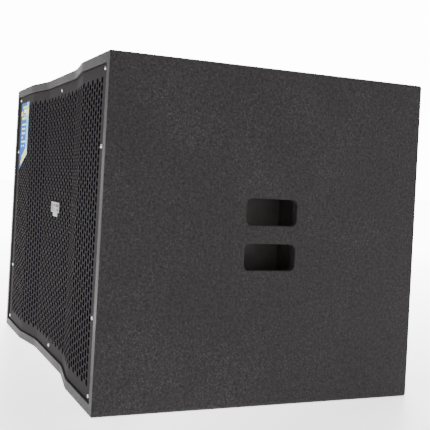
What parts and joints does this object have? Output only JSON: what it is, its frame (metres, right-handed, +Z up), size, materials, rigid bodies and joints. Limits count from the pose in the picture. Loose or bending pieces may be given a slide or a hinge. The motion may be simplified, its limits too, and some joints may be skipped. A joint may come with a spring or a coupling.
{
  "type": "subwoofer cabinet",
  "caption": "Wooden bass loudspeaker cabinet with a folded perforated steel grille, side hand slots, reflex ports and a cone driver that travels on its suspension.",
  "frame": {"origin": "middle of the footprint, on the floor", "axes": "+X to the right seen from the front, the grille faces -Y, +Z up"},
  "size_m": [0.82, 0.625, 0.6],
  "materials": {
    "cabinet_paint": "birch plywood under textured black paint",
    "baffle_paint": "plywood, matt black",
    "bare_plywood": "bare birch plywood",
    "grille_paint": "textured black powder coat",
    "grille_foam": "open-cell acoustic foam",
    "zinc_screw": "zinc plated",
    "black_screw": "black oxide",
    "badge_metal": "satin",
    "label_vinyl": "printed vinyl, plain blocks of colour",
    "cup_plastic": "moulded, fine texture",
    "basket_cast": "die-cast, black enamel",
    "gasket_board": "pressed fibre",
    "surround_cloth": "doped cloth",
    "cone_paper": "pressed paper, black",
    "cap_paper": "pressed paper, black",
    "former_film": "heat-proof film",
    "copper_wire": "enamelled copper wire",
    "spider_cloth": "phenolic cotton cloth",
    "magnet_steel": "turned, zinc plated",
    "ferrite": "ground ferrite",
    "board_phenolic": "phenolic board",
    "contact_metal": "plated",
    "port_plastic": "moulded",
    "plate_paint": "black powder coat",
    "socket_plastic": "glass-filled, black",
    "cable_rubber": "matt",
    "wadding": "polyester wadding",
    "pole_paint": "black powder coat"
  },
  "bodies": {
    "cabinet": {"side_panel_left": "cabinet_paint", "side_panel_right": "cabinet_paint", "top_panel": "cabinet_paint", "bottom_panel": "cabinet_paint", "back_panel": "cabinet_paint", "front_baffle": "baffle_paint", "window_brace": "bare_plywood", "baffle_battens": "bare_plywood", "back_battens": "bare_plywood", "grille_rail_left": "baffle_paint", "grille_rail_right": "baffle_paint", "grille_block_top": "baffle_paint", "grille_block_bottom": "baffle_paint", "hand_cup_left": "cup_plastic", "hand_cup_right": "cup_plastic", "hand_cup_screws": "zinc_screw", "grille": "grille_paint", "grille_foam": "grille_foam", "grille_screws": "zinc_screw", "badge_plate": "badge_metal", "badge_clips": "zinc_screw", "front_label": "label_vinyl", "woofer_basket": "basket_cast", "woofer_gasket": "gasket_board", "woofer_surround": "surround_cloth", "woofer_spider": "spider_cloth", "magnet_top_plate": "magnet_steel", "ferrite_magnet": "ferrite", "pole_piece": "magnet_steel", "woofer_bolts": "black_screw", "woofer_tee_nuts": "zinc_screw", "terminal_board": "board_phenolic", "terminal_lugs": "contact_metal", "tinsel_leads": "copper_wire", "driver_plug": "socket_plastic", "port_tube_lower_left": "port_plastic", "port_tube_lower_right": "port_plastic", "port_tube_upper_left": "port_plastic", "port_tube_upper_right": "port_plastic", "connector_plate": "plate_paint", "link_socket_left": "socket_plastic", "link_socket_right": "socket_plastic", "socket_contacts": "contact_metal", "socket_screws": "black_screw", "connector_plate_screws": "black_screw", "socket_boots": "cable_rubber", "driver_cable": "cable_rubber", "link_cable": "cable_rubber", "wadding_back": "wadding", "wadding_floor": "wadding", "pole_socket": "pole_paint", "pole_socket_screws": "black_screw"},
    "cone_assembly": {"woofer_cone": "cone_paper", "dust_cap": "cap_paper", "voice_coil_former": "former_film", "voice_coil_winding": "copper_wire"}
  },
  "joints": [
    {"name": "cone_slide", "type": "slide", "parent": "cabinet", "child": "cone_assembly", "axis": [0, -1, 0], "range_m": [-0.009, 0.009], "stiffness_N_per_m": 8000, "deforming": ["woofer_surround", "woofer_spider", "tinsel_leads"]}
  ]
}
